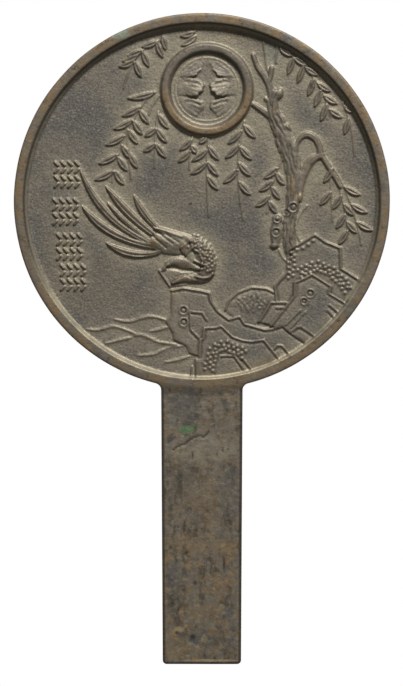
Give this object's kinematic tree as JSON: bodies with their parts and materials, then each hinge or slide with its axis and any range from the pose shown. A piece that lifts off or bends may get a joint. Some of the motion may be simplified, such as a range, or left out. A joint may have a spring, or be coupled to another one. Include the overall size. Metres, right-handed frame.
{
  "type": "bronze hand mirror",
  "caption": "Old cast bronze hand mirror: round disc with a raised rim, flat straight handle, and a willow, bird and rock picture in low relief; it lies on its polished face.",
  "frame": {"origin": "middle of the flat polished disc face, on the surface it lies on", "axes": "+Z out of the relief side, -Y along the handle from disc to end, +X to the right when the handle points down and the relief faces the viewer"},
  "size_m": [0.12, 0.2078, 0.0044],
  "materials": {
    "bronze": "old tin bronze with an olive-grey tarnish, worn warmer on the raised parts"
  },
  "bodies": {
    "root": {"mirror": "bronze"}
  },
  "joints": []
}
